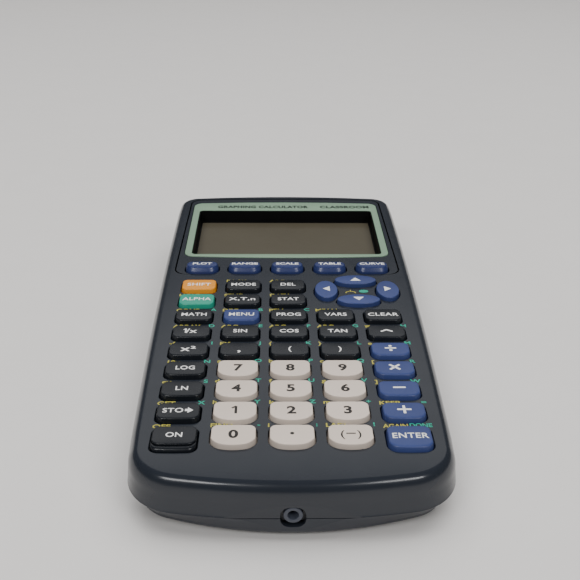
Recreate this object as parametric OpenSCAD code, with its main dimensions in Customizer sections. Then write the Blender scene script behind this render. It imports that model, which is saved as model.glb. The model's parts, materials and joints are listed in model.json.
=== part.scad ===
// Graphing calculator: a wedge-shaped case with fifty separate keys, a display and four cells.
// The face frame has X across, Y towards the display and Z out of the face, with the face at Z 0.
// on_tilt() leans the face frame so that the feet stand flat on Z 0 of the whole object.

/* [Case] */
// Length of the case along its face
case_l = 184.4; // [184:0.2:185]
// Greatest width of the case
case_w = 84.6; // [84.2:0.2:85]
// Height of the middle of the face above the table
face_h = 19.2; // [19:0.1:20]
// Lean of the face towards the near end, in degrees
face_tilt = 2; // [1.9:0.1:2.1]
// Depth of the front shell from the face to the parting line
front_depth = 9.1; // [9:0.1:9.2]
// Wall thickness of both shells
wall = 2; // [1.9:0.1:2]
// Radius of the shallow bow of the near end
near_bow_r = 155; // [150:5:170]
// Radius of the shallow bow of the far end
far_bow_r = 308; // [300:4:320]
// Radius of the two near corners
near_corner_r = 14; // [13:0.5:14]
// Radius of the two far corners
far_corner_r = 8; // [7:0.5:8]

/* [Keys] */
// Distance between key columns
column_pitch = 14.2; // [14.2:0.1:14.3]
// Distance between key rows
row_pitch = 10; // [10:0.05:10.1]
// Width of every rectangular key
key_w = 11; // [10.8:0.1:11.3]
// Depth of the dark and coloured keys
key_d = 7.4; // [6.8:0.1:7.4]
// Depth of the two outer keys of the near row
end_key_d = 9; // [8.6:0.1:9.1]
// Depth of the number keys
number_d = 8.3; // [8:0.1:8.4]
// Depth of the five keys under the display
graph_d = 6; // [5.6:0.1:6.2]
// Height of a key above the face
key_h = 1.3; // [1.2:0.1:1.8]
// Height of the keys under the display
graph_h = 2; // [1.6:0.1:2.2]
// Travel of every key
key_travel = 1.2; // [0.8:0.1:1.2]
// Gap between a key and its opening
key_gap = 0.3; // [0.25:0.05:0.35]

/* [Display] */
// Width of the display window
window_w = 65.2; // [64:0.2:65.2]
// Length of the display window
window_l = 39.2; // [38:0.2:39.2]
// Width of the green frame
frame_w = 70.8; // [70.4:0.2:71]
// Length of the green frame
frame_l = 50; // [49.6:0.2:50.4]

/* [Power and link] */
// Radius of one cell, a AAA size
cell_r = 5.25; // [5.1:0.05:5.25]
// Length of one cell
cell_l = 44.5; // [44:0.1:44.5]
// Radius of the hole of the link jack, for a 2.5 mm plug
jack_r = 1.3; // [1.25:0.01:1.35]
// Depth of the hole of the link jack
jack_depth = 12; // [10:0.5:12]
// Width of the lead-in chamfer at the mouth of the jack
jack_lead = 0.3; // [0.2:0.05:0.4]

/* [Hidden] */
fine = 48;
eps = 0.1;
// Moves the leaned case so that its middle stands over the origin
centre_shift = -0.8;

// The near end's row of keys, measured from the middle of the case
enter_row_y = 19 - case_l / 2;
function row_y(row) = enter_row_y + (9 - row) * row_pitch;
function column_x(column) = (column - 3) * column_pitch;
end_key_y = row_y(9) - (end_key_d - key_d) / 2;
graph_row_y = row_y(0) + 3.4;
pad = [22, row_y(1) - 3];

// Key layers under the face: flange top and bottom, then how far the flange stands out
flange_top = -wall - 0.15;
flange_h = 0.8;
flange_bottom = flange_top - flange_h;
flange_rim = 0.6;

// Crown of a key: its height, and how far it stands in from the key's body all round
crown_h = 0.5;
crown_in = 0.5;

// Inner layers, as heights in the face frame
mat_top = flange_bottom - key_travel - 0.35;
mat_h = 0.5;
board_top = mat_top - mat_h;
board_h = 1.6;
board_near = enter_row_y - 4;
board_far = graph_row_y + 4.4;
board_w = 73.2;
window_y = enter_row_y + 125.5;
frame_y = enter_row_y + 128.3;
frame_proud = 0.2;
frame_h = 1.2;
frame_corner_r = 3;
skirt_bottom = -4.3;
lcd_top = -4.4;
lcd_glass_h = 1.6;
lcd_board_h = 0.8;

// Case screws, in the face frame
screw_places = [for (sx = [-1, 1]) for (p = [[27, enter_row_y - 8.6], [30, enter_row_y + 100.7],
    [33, enter_row_y + 157.5]]) [sx * p[0], p[1]]];
screw_seat = -11.5;
screw_shank_r = 0.95;
screw_head_r = 2.4;
screw_head_h = 1.6;
screw_top = -3.5;

// Link jack, on the middle of the near end
jack_z = -8.2;
port_z = -9.1;
port_w = 6.4;
port_h = 6;
port_corner_r = 2.2;
recess_y = 1 - case_l / 2;
recess_top = -6;
jack_ring_r = 2.2;
jack_face_y = recess_y + 0.2;

// Underside and cell bay, in the upright frame of the table
floor_z = 0.8;
floor_h = 1.8;
rear_edge_z = 3.6;
rear_bow_r = 90;
edge_in = [3, 1.3];
floor_in = [4.5, 8.2];
foot_r = 5;
foot_x = 31;
foot_y = [-68, 74];
bay_w = 45.6;
bay_near = 34.5;
bay_far = 84.5;
bay_wall = 1.2;
bay_top = 12.6;
cell_z = 7.5;
cell_near = bay_near + 3.4;
cell_far = cell_near + cell_l;
contact_h = 0.4;
contact_low = 2.6;
cell_pitch = 10.9;
cover_gap = 0.3;
cover_h = 1.3;

// Points of an arc about a centre
function arc(c, r, from, to, n) =
    [for (k = [0:n]) let (a = from + (to - from) * k / n) c + r * [cos(a), sin(a)]];

function mirrored(points) =
    [for (k = [len(points) - 1:-1:0]) [-points[k][0], points[k][1]]];

// Half of the case outline, pulled in by side all round and by nose at the near end, which has radius bow
near_corner_x = 25.8;
far_corner_x = 34;
far_bow_y = case_l / 2 - far_bow_r;
function near_turn(bow) = asin(near_corner_x / (bow - near_corner_r));
function near_corner_y(bow) = bow - case_l / 2 - (bow - near_corner_r) * cos(near_turn(bow));
far_corner_y = far_bow_y + sqrt(pow(far_bow_r - far_corner_r, 2) - pow(far_corner_x, 2));
widest_y = 52;
side_bow_r = 3464;
function side_x(y) = case_w / 2 - pow(y - widest_y, 2) / (2 * side_bow_r);
function half_outline(side, nose, bow) = let (shift = nose - side, corner_y = near_corner_y(bow)) concat(
    arc([0, bow - case_l / 2 + shift], bow - side, 270, 270 + near_turn(bow), 4),
    arc([near_corner_x, corner_y + shift], near_corner_r - side, 280 + near_turn(bow), 350, 6),
    [for (k = [1:5]) let (y = corner_y + (far_corner_y - corner_y) * k / 6)
        [side_x(y) - side, y]],
    arc([far_corner_x, far_corner_y], far_corner_r - side, 0, 80, 5),
    arc([0, far_bow_y], far_bow_r - side,
        90 - asin(far_corner_x / (far_bow_r - far_corner_r)), 90, 4));
function outline(side, nose, bow) =
    concat(half_outline(side, nose, bow), mirrored(half_outline(side, nose, bow)));

// Thin layer of the case outline whose upper side is at z
module layer(z, side, nose) {
    translate([0, 0, z - eps]) linear_extrude(eps) polygon(outline(side, nose, near_bow_r));
}

// Thin layer of the underside in the upright frame, with a rounder near end
module floor_layer(z, inset, thick) {
    translate([0, centre_shift, z]) linear_extrude(eps)
        polygon(outline(inset[0] + thick, inset[1] + thick, rear_bow_r));
}

module on_tilt() {
    translate([0, centre_shift, face_h]) rotate([face_tilt, 0, 0]) children();
}

// Rounded rectangle as points, w by d, grown by g all round
function rounded(w, d, r, g) = let (x = w / 2 - r, y = d / 2 - r, q = r + g) concat(
    arc([x, -y], q, 270, 360, 3), arc([x, y], q, 0, 90, 3),
    arc([-x, y], q, 90, 180, 3), arc([-x, -y], q, 180, 270, 3));

// Number key as points: straight far edge, near edge bowed outwards
number_bow = 1.1;
number_bow_r = 16;
number_corner_r = 1.8;
function number_shape(g) = let (x = key_w / 2 - number_corner_r, y = number_d / 2 - number_corner_r,
    q = number_corner_r + g) concat(
    arc([0, number_bow_r - number_d / 2], number_bow_r + g, 256, 284, 6),
    arc([x, number_bow - y], q, 300, 360, 3), arc([x, y], q, 0, 90, 3),
    arc([-x, y], q, 90, 180, 3), arc([-x, number_bow - y], q, 180, 240, 3));

// Arrow key as points: an ellipse
function arrow_shape(size, g) =
    [for (a = [0:15:345]) [(size[0] / 2 + g) * cos(a), (size[1] / 2 + g) * sin(a)]];

key_corner_r = 1.6;
function dark_shape(g) = rounded(key_w, key_d, key_corner_r, g);
function end_shape(g) = rounded(key_w, end_key_d, key_corner_r, g);
function graph_shape(g) = rounded(key_w, graph_d, key_corner_r, g);

// The four arrow keys: the upper and lower pair, the pair at the sides, then their places
tall_arrow = [13.6, 6.6];
side_arrow = [7.4, 12];
arrow_reach_y = 6.75;
arrow_reach_x = 9.8;
up_at = pad + [0, arrow_reach_y];
down_at = pad - [0, arrow_reach_y];
left_at = pad - [arrow_reach_x, 0];
right_at = pad + [arrow_reach_x, 0];

// A key is a flange under the face, a body through the opening and a smaller crown
module key(at, rim, body, crown, h) {
    translate([at[0], at[1], 0]) union() {
        translate([0, 0, flange_bottom]) linear_extrude(flange_h) polygon(rim);
        translate([0, 0, flange_bottom]) linear_extrude(h - crown_h - flange_bottom) polygon(body);
        translate([0, 0, h - crown_h - eps]) linear_extrude(crown_h + eps) polygon(crown);
    }
}

module graph_key(column) {
    color("#3b4a86") on_tilt() key([column_x(column), graph_row_y],
        graph_shape(flange_rim), graph_shape(0), graph_shape(-crown_in), graph_h);
}

module plain_key(column, row, tint) {
    color(tint) on_tilt() key([column_x(column), row_y(row)],
        dark_shape(flange_rim), dark_shape(0), dark_shape(-crown_in), key_h);
}

module dark_key(column, row) {
    plain_key(column, row, "#33363b");
}

module blue_key(column, row) {
    plain_key(column, row, "#4a5a8f");
}

module long_blue_key(column) {
    color("#4a5a8f") on_tilt() key([column_x(column), end_key_y],
        end_shape(flange_rim), end_shape(0), end_shape(-crown_in), key_h);
}

// Key of the same size with a low ledge along its near side
module ledge_key(column) {
    ledge_h = 0.5;
    top_d = 6.8;
    top_y = end_key_y + end_key_d / 2 - 0.1 - top_d / 2;
    color("#33363b") on_tilt() union() {
        key([column_x(column), end_key_y], end_shape(flange_rim), end_shape(0), end_shape(-crown_in), ledge_h);
        key([column_x(column), top_y], rounded(key_w, top_d, key_corner_r, -0.2),
            rounded(key_w, top_d, key_corner_r, -0.2), rounded(key_w, top_d, key_corner_r, -0.2 - crown_in), key_h);
    }
}

module number_key(column, row) {
    color("#cbc4bb") on_tilt() key([column_x(column), row_y(row)],
        number_shape(flange_rim), number_shape(0), number_shape(-crown_in), key_h);
}

module arrow_key(at, size) {
    color("#4a5a8f") on_tilt() key(at, arrow_shape(size, flange_rim),
        arrow_shape(size, 0), arrow_shape(size, -crown_in), key_h);
}

// Tool that cuts one key opening through the face
module opening(at, shape) {
    translate([at[0], at[1], -2 * wall]) linear_extrude(3 * wall) polygon(shape);
}

// The places of all rectangular dark and coloured keys: [column, row]
plain_places = concat([for (c = [1:3]) for (r = [1:2]) [c, r]], [for (c = [1:5]) for (r = [3:5]) [c, r]],
    [for (c = [1, 5]) for (r = [6:8]) [c, r]]);

module key_openings() {
    for (c = [1:5]) opening([column_x(c), graph_row_y], graph_shape(key_gap));
    for (p = plain_places) opening([column_x(p[0]), row_y(p[1])], dark_shape(key_gap));
    for (c = [1, 5]) opening([column_x(c), end_key_y], end_shape(key_gap));
    for (c = [2:4]) for (r = [6:9]) opening([column_x(c), row_y(r)], number_shape(key_gap));
    for (at = [up_at, down_at]) opening(at, arrow_shape(tall_arrow, key_gap));
    for (at = [left_at, right_at]) opening(at, arrow_shape(side_arrow, key_gap));
}

// Flat on the near end around the link jack, with the opening for the jack
module port_cut() {
    recess_h = 12;
    translate([-case_w / 2, recess_y - 3, recess_top - recess_h]) cube([case_w, 3, recess_h]);
    translate([0, recess_y - 1, port_z]) rotate([-90, 0, 0]) linear_extrude(4)
        polygon(rounded(port_w, port_h, port_corner_r, 0));
}

module front_case() {
    color("#3d4045") on_tilt() difference() {
        union() {
            difference() {
                hull() {
                    layer(0, 3.4, 4.4);
                    layer(-0.4, 2.2, 3.2);
                    layer(-1.2, 1.2, 2.2);
                    layer(-2.4, 0.6, 1.6);
                    layer(eps - front_depth, 0, 0);
                }
                hull() {
                    layer(-wall, 4.4, 5.4);
                    layer(-4.4, wall + 0.2, wall + 0.8);
                    layer(-front_depth - 1, wall, wall);
                }
            }
            for (p = screw_places) translate([p[0], p[1], 0.2 - front_depth])
                cylinder(r = 2.2, h = front_depth - wall, $fn = fine);
        }
        key_openings();
        translate([0, frame_y, frame_proud - frame_h]) linear_extrude(frame_h)
            polygon(rounded(frame_w, frame_l, frame_corner_r, 0.2));
        translate([0, window_y, -2 * wall]) linear_extrude(3 * wall)
            polygon(rounded(window_w, window_l, 1, 1.3));
        port_cut();
        for (p = screw_places) translate([p[0], p[1], -front_depth - 1])
            cylinder(r = screw_shank_r + 0.05, h = front_depth - 2, $fn = fine);
    }
}

module rear_outer() {
    hull() {
        on_tilt() layer(-front_depth, 0.35, 0.35);
        floor_layer(rear_edge_z, edge_in, 0);
        floor_layer(floor_z, floor_in, 0);
    }
}

module rear_inner() {
    hull() {
        on_tilt() layer(1 - front_depth, wall + 0.35, wall + 0.35);
        floor_layer(rear_edge_z + 1.4, edge_in, wall);
        floor_layer(floor_z + floor_h, floor_in, wall);
    }
}

module screw_post() {
    translate([0, 0, -front_depth - 14]) cylinder(r = 3.6, h = 13.8, $fn = fine);
}

module rear_case() {
    color("#34373c") difference() {
        union() {
            difference() {
                rear_outer();
                rear_inner();
            }
            intersection() {
                rear_outer();
                union() {
                    on_tilt() for (p = screw_places) translate([p[0], p[1], 0]) screw_post();
                    translate([-bay_w / 2 - bay_wall, bay_near - bay_wall, floor_z])
                        cube([bay_w + 2 * bay_wall, bay_far - bay_near + 2 * bay_wall, bay_top - floor_z]);
                }
            }
            for (sx = [-1, 1]) for (y = foot_y) translate([sx * foot_x, y, 0])
                cylinder(r = foot_r, h = floor_z + 1, $fn = fine);
        }
        translate([-bay_w / 2, bay_near, 0]) cube([bay_w, bay_far - bay_near, 2 * bay_top]);
        for (sx = [-1, 1]) translate([sx * 12 - 3.5, bay_near - 2, floor_z + floor_h]) cube([7, 3, 2.2]);
        translate([-6.5, bay_far - eps, floor_z + floor_h]) cube([13, 1 + eps, 2.2]);
        on_tilt() {
            translate([0, 0, -front_depth]) linear_extrude(front_depth)
                square([2 * case_w, 2 * case_l], center = true);
            port_cut();
            for (p = screw_places) translate([p[0], p[1], 0]) {
                translate([0, 0, 2 * screw_seat]) cylinder(r = 2.7, h = -screw_seat, $fn = fine);
                translate([0, 0, screw_seat - 1]) cylinder(r = 1.2, h = 6, $fn = fine);
            }
        }
    }
}

// Green frame flush in the face, with a skirt down to the display and a clear pane near its foot
module display_window() {
    color("#8ba38f") on_tilt() {
        difference() {
            union() {
                translate([0, frame_y, frame_proud - frame_h]) linear_extrude(frame_h)
                    polygon(rounded(frame_w, frame_l, frame_corner_r, 0));
                translate([0, window_y, skirt_bottom]) linear_extrude(-skirt_bottom - 0.5)
                    polygon(rounded(window_w, window_l, 1, 1));
            }
            translate([0, window_y, 2 * skirt_bottom]) linear_extrude(-3 * skirt_bottom)
                polygon(rounded(window_w, window_l, 1, 0));
        }
        translate([0, window_y, skirt_bottom]) linear_extrude(0.8)
            polygon(rounded(window_w, window_l, 1, 0));
    }
}

// Display glass on its own small board, with a flat cable to the main board
module lcd_module() {
    lcd_w = 70;
    lcd_l = 43;
    lcd_board_w = 74;
    lcd_board_l = 47;
    color("#5a5446") on_tilt() {
        translate([-lcd_w / 2, window_y - lcd_l / 2, lcd_top - lcd_glass_h])
            cube([lcd_w, lcd_l, lcd_glass_h]);
        translate([-lcd_board_w / 2, window_y - lcd_l / 2, lcd_top - lcd_glass_h - lcd_board_h])
            cube([lcd_board_w, lcd_board_l, lcd_board_h]);
        translate([-12, board_far - 4, board_top - board_h - 0.3])
            cube([24, window_y - lcd_l / 2 - board_far + 4, 0.3]);
    }
}

// Rubber sheet with one low dome under each key, drawn pressed down
module rubber_keypad() {
    dome_r = 2.4;
    dome_h = 0.2;
    centres = concat([for (c = [1:5]) [column_x(c), graph_row_y]],
        [for (p = plain_places) [column_x(p[0]), row_y(p[1])]],
        [for (c = [1, 5]) [column_x(c), end_key_y]], [for (c = [2:4]) for (r = [6:9]) [column_x(c), row_y(r)]],
        [up_at, down_at, left_at, right_at]);
    color("#9aa0a3") on_tilt() union() {
        translate([-board_w / 2, board_near, mat_top - mat_h])
            cube([board_w, board_far - board_near, mat_h]);
        for (p = centres) translate([p[0], p[1], mat_top - eps])
            cylinder(r = dome_r, h = dome_h + eps, $fn = 24);
    }
}

// Main board with two chips and the link jack at its near edge
module circuit_board() {
    jack_w = 7;
    jack_h = 4.2;
    jack_near = recess_y + 1.4;
    color("#2f6b45") on_tilt() {
        translate([-board_w / 2, board_near, board_top - board_h])
            cube([board_w, board_far - board_near, board_h]);
        translate([-9, enter_row_y + 45, board_top - board_h - 1.6]) cube([20, 14, 1.6]);
        translate([-6, enter_row_y + 75, board_top - board_h - 1.2]) cube([14, 10, 1.2]);
        difference() {
            union() {
                translate([-jack_w / 2, jack_near, jack_z - jack_h / 2])
                    cube([jack_w, board_near - jack_near, jack_h]);
                translate([0, jack_face_y, jack_z]) rotate([-90, 0, 0])
                    cylinder(r = jack_ring_r, h = 2.2, $fn = fine);
            }
            translate([0, jack_face_y - eps, jack_z]) rotate([-90, 0, 0])
                cylinder(r = jack_r, h = jack_depth + eps, $fn = fine);
            translate([0, jack_face_y - eps, jack_z]) rotate([-90, 0, 0])
                cylinder(r1 = jack_r + jack_lead + eps, r2 = jack_r, h = jack_lead + eps, $fn = fine);
        }
    }
}

// Cell cover: two hooks at its near edge and one latch tongue at its far edge
module battery_cover() {
    hook_z = floor_z + floor_h + 0.15;
    color("#303338") union() {
        translate([cover_gap - bay_w / 2, bay_near + cover_gap, floor_z])
            cube([bay_w - 2 * cover_gap, bay_far - bay_near - 2 * cover_gap, cover_h]);
        for (sx = [-1, 1]) translate([sx * 12 - 3, bay_near + cover_gap, floor_z])
            cube([6, 1.2, hook_z - floor_z + 1]);
        for (sx = [-1, 1]) translate([sx * 12 - 3, bay_near - 1.5, hook_z]) cube([6, 3, 1]);
        translate([-6, bay_far - cover_gap - 1.2, floor_z]) cube([12, 1.2, 3.4]);
    }
}

module batteries() {
    color("#b08d57") for (k = [-1.5:1:1.5]) translate([k * cell_pitch, cell_near, cell_z])
        rotate([-90, 0, 0]) union() {
            cylinder(r = cell_r, h = cell_l - 0.8, $fn = fine);
            cylinder(r = 1.9, h = cell_l, $fn = fine);
        }
}

// A plate at each end of each cell, with a spring cone at the near end and a bump at the far end
module battery_contacts() {
    plate = [8.8, contact_h, contact_low + 4];
    spring_l = cell_near - bay_near - contact_h;
    bump_l = bay_far - contact_h - cell_far;
    color("#c9c9c9") for (k = [-1.5:1:1.5]) translate([k * cell_pitch, 0, cell_z]) {
        translate([-plate[0] / 2, bay_near, -contact_low]) cube(plate);
        translate([0, bay_near + contact_h, 0]) rotate([-90, 0, 0])
            cylinder(r1 = 3, r2 = 2.2, h = spring_l, $fn = fine);
        translate([-plate[0] / 2, bay_far - contact_h, -contact_low]) cube(plate);
        translate([0, cell_far, 0]) rotate([-90, 0, 0])
            cylinder(r1 = 2, r2 = 2.4, h = bump_l, $fn = fine);
    }
}

module screws() {
    color("#4a4a4a") on_tilt() for (p = screw_places) translate([p[0], p[1], 0]) difference() {
        union() {
            translate([0, 0, screw_seat - screw_head_h])
                cylinder(r = screw_head_r, h = screw_head_h, $fn = fine);
            translate([0, 0, screw_seat - eps])
                cylinder(r = screw_shank_r, h = screw_top - screw_seat + eps, $fn = fine);
        }
        for (a = [0, 90]) rotate([0, 0, a]) translate([-1.3, -0.25, screw_seat - screw_head_h - eps])
            cube([2.6, 0.5, 0.8]);
    }
}

module key_graph_1() { graph_key(1); }
module key_graph_2() { graph_key(2); }
module key_graph_3() { graph_key(3); }
module key_graph_4() { graph_key(4); }
module key_graph_5() { graph_key(5); }
module key_second() { plain_key(1, 1, "#e0a040"); }
module key_mode() { dark_key(2, 1); }
module key_del() { dark_key(3, 1); }
module key_alpha() { plain_key(1, 2, "#3fa38c"); }
module key_variable() { dark_key(2, 2); }
module key_stat() { dark_key(3, 2); }
module key_up() { arrow_key(up_at, tall_arrow); }
module key_left() { arrow_key(left_at, side_arrow); }
module key_right() { arrow_key(right_at, side_arrow); }
module key_down() { arrow_key(down_at, tall_arrow); }
module key_math() { dark_key(1, 3); }
module key_apps() { blue_key(2, 3); }
module key_prgm() { dark_key(3, 3); }
module key_vars() { dark_key(4, 3); }
module key_clear() { dark_key(5, 3); }
module key_reciprocal() { dark_key(1, 4); }
module key_sin() { dark_key(2, 4); }
module key_cos() { dark_key(3, 4); }
module key_tan() { dark_key(4, 4); }
module key_power() { dark_key(5, 4); }
module key_square() { dark_key(1, 5); }
module key_comma() { dark_key(2, 5); }
module key_paren_open() { dark_key(3, 5); }
module key_paren_close() { dark_key(4, 5); }
module key_divide() { blue_key(5, 5); }
module key_log() { dark_key(1, 6); }
module key_7() { number_key(2, 6); }
module key_8() { number_key(3, 6); }
module key_9() { number_key(4, 6); }
module key_multiply() { blue_key(5, 6); }
module key_ln() { dark_key(1, 7); }
module key_4() { number_key(2, 7); }
module key_5() { number_key(3, 7); }
module key_6() { number_key(4, 7); }
module key_minus() { blue_key(5, 7); }
module key_store() { dark_key(1, 8); }
module key_1() { number_key(2, 8); }
module key_2() { number_key(3, 8); }
module key_3() { number_key(4, 8); }
module key_plus() { blue_key(5, 8); }
module key_on() { ledge_key(1); }
module key_0() { number_key(2, 9); }
module key_point() { number_key(3, 9); }
module key_negative() { number_key(4, 9); }
module key_enter() { long_blue_key(5); }

front_case();
rear_case();
display_window();
lcd_module();
rubber_keypad();
circuit_board();
battery_cover();
batteries();
battery_contacts();
screws();
key_graph_1();
key_graph_2();
key_graph_3();
key_graph_4();
key_graph_5();
key_second();
key_mode();
key_del();
key_alpha();
key_variable();
key_stat();
key_up();
key_left();
key_right();
key_down();
key_math();
key_apps();
key_prgm();
key_vars();
key_clear();
key_reciprocal();
key_sin();
key_cos();
key_tan();
key_power();
key_square();
key_comma();
key_paren_open();
key_paren_close();
key_divide();
key_log();
key_7();
key_8();
key_9();
key_multiply();
key_ln();
key_4();
key_5();
key_6();
key_minus();
key_store();
key_1();
key_2();
key_3();
key_plus();
key_on();
key_0();
key_point();
key_negative();
key_enter();
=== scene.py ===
import json
import math

import bmesh
import bpy
from mathutils import Matrix, Vector
from mathutils.geometry import delaunay_2d_cdt


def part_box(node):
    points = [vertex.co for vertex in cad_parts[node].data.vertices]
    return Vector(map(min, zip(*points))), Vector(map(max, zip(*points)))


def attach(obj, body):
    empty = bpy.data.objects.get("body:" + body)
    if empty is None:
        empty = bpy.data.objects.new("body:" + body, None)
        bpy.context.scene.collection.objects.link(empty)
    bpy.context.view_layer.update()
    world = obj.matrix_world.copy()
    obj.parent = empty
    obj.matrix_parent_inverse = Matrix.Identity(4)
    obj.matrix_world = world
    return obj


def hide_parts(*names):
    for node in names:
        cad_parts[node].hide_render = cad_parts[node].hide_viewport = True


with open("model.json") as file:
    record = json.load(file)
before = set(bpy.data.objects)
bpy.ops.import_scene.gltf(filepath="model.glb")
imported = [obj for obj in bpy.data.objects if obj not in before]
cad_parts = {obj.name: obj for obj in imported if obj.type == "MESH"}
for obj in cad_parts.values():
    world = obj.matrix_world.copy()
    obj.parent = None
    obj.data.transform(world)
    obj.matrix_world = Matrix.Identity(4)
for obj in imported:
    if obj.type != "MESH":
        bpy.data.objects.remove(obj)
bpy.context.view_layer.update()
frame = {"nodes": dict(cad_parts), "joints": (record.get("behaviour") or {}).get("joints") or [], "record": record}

# ---------------------------------------------------------------- driving sizes, in millimetres
# Pieces are drawn in the face frame: X across, Y towards the display, Z out of the face.
MM = 0.001
CASE_L = 184.4
CASE_W = 84.6
WALL = 2.0
# Radii of the case's near end, the rear shell's near end, the far end and the sides, which are widest
# at WIDEST_Y; a corner has the x of its middle and its radius
NEAR_BOW_R = 155.0
REAR_BOW_R = 90.0
FAR_BOW_R = 308.0
NEAR_CORNER = (25.8, 14.0)
FAR_CORNER = (34.0, 8.0)
SIDE_BOW_R = 3464.0
WIDEST_Y = 52.0
# Keys: how far the flange stands out under the face, its underside and top, and the gap round the key
FLANGE_RIM = 0.6
FLANGE_Z = (-2.95, -2.15)
KEY_GAP = 0.3
# Flat at the near end, the display frame above the face, and the rear shell's lower edge and floor
RECESS_Y = 0.85 - CASE_L / 2
FRAME_PROUD = 0.2
REAR_EDGE_Z = 3.6
FLOOR_Z = 0.8
# Legends: how far they stand proud, how deep their backs are sunk, and half their thickness when drawn
LEGEND_PROUD = 0.012
INK_ROOT = 0.03
INK_HALF = 0.03
ARC_STEP = 3.0
# Steps along the case's near end, its near corners and its sides; the far corners use ARC_STEP
NEAR_STEPS = 18
CORNER_STEPS = 26
SIDE_STEPS = 26
# Corner arcs stop this many degrees short of the gently bowed side
ARC_SHORT = 2
# A face lies in a plane if its middle is this near and its normal this square to it
LEVEL_WITHIN = 0.02
SQUARE_ABOVE = 0.999


# ---------------------------------------------------------------- the face frame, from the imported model
def joint_named(name):
    return next(j for j in frame["joints"] if j["name"] == name)


PRESS = Vector(joint_named("press_enter")["axis"])
TILT = math.atan2(PRESS.y, -PRESS.z)
LEAN = Matrix.Rotation(TILT, 3, "X")
UPRIGHT = LEAN.transposed()


def leaned_box(node):
    """Lowest and highest corner of a CAD node in a leaned frame through the shared origin, in mm."""
    points = [UPRIGHT @ v.co / MM for v in frame["nodes"][node].data.vertices]
    low = Vector([min(p[k] for p in points) for k in range(3)])
    high = Vector([max(p[k] for p in points) for k in range(3)])
    return low, high


FACE_ORIGIN = Vector((0, leaned_box("front_case")[1].y - CASE_L / 2,
                      leaned_box("display_window")[1].z - FRAME_PROUD))
FRONT_DEPTH = FACE_ORIGIN.z - leaned_box("front_case")[0].z


def from_face(p):
    """A point of the face frame, in mm, as a point of the shared frame, in metres."""
    return LEAN @ (Vector(p) + FACE_ORIGIN) * MM


def to_face(p):
    """A point of the shared frame, in metres, as a point of the face frame, in mm."""
    return UPRIGHT @ Vector(p) / MM - FACE_ORIGIN


def from_table(p):
    """A point of the upright frame, in mm, as a point of the shared frame, in metres."""
    return Vector(p) * MM


PORT = next(m for m in frame["record"]["mounts"] if m["name"] == "link_port")
JACK_Z = to_face(PORT["pos_m"]).z
CENTRE_Y = from_face((0, 0, 0)).y / MM


# ---------------------------------------------------------------- outlines
def arc(cx, cy, r, start, stop, step=ARC_STEP, n=None):
    n = n or max(2, math.ceil(abs(stop - start) / step))
    angles = [math.radians(start + (stop - start) * k / n) for k in range(n + 1)]
    return [(cx + r * math.cos(a), cy + r * math.sin(a)) for a in angles]


def mirrored(points):
    return [(-x, y) for x, y in reversed(points)]


def case_outline(side, nose, far=None, bow=NEAR_BOW_R):
    """Outline of the case, pulled in by side all round, by nose at the near end and far at the far end.
    bow is the radius of its near end."""
    far = side if far is None else far
    near_x, near_r = NEAR_CORNER
    far_x, far_r = FAR_CORNER
    near_turn = math.degrees(math.asin(near_x / (bow - near_r)))
    far_turn = math.degrees(math.asin(far_x / (FAR_BOW_R - far_r)))
    near_y = bow - CASE_L / 2 + nose - side
    far_y = CASE_L / 2 - FAR_BOW_R + side - far
    corner_y = near_y - (bow - near_r) * math.cos(math.radians(near_turn))
    end_y = far_y + (FAR_BOW_R - far_r) * math.cos(math.radians(far_turn))
    half = arc(0, near_y, bow - side, 270, 270 + near_turn, n=NEAR_STEPS)
    half += arc(near_x, corner_y, near_r - side, 270 + near_turn, 360 - ARC_SHORT, n=CORNER_STEPS)[1:]
    for k in range(1, SIDE_STEPS):
        y = corner_y + (end_y - corner_y) * k / SIDE_STEPS
        half.append((CASE_W / 2 - (y - WIDEST_Y) ** 2 / (2 * SIDE_BOW_R) - side, y))
    half += arc(far_x, end_y, far_r - side, ARC_SHORT, 90 - far_turn)
    half += arc(0, far_y, FAR_BOW_R - side, 90 - far_turn, 90, 0.6)[1:]
    return half + mirrored(half)[1:-1]


def rounded(half_w, back, front, r_back, r_front, bow=0.0, step=9.0):
    """Rounded rectangle from y = -front to y = back; bow pulls its two near corners back."""
    points = arc(half_w - r_back, back - r_back, r_back, 0, 90, step)
    straight = half_w - r_back
    points += [(x, back) for x in (straight / 2, 0, -straight / 2)]
    points += arc(r_back - half_w, back - r_back, r_back, 90, 180, step)
    points += arc(r_front - half_w, r_front - front, r_front, 180, 270, step)
    reach = half_w - r_front
    points += [(reach * k / 6, -front) for k in range(-5, 6)]
    points += arc(half_w - r_front, r_front - front, r_front, 270, 360, step)
    return [(x, y + bow * (x / half_w) ** 2 * max(0.0, -y / front)) for x, y in points]


def ellipse(half_w, half_d, n=72):
    turns = [2 * math.pi * k / n for k in range(n)]
    return [(half_w * math.cos(a), half_d * math.sin(a)) for a in turns]


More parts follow.
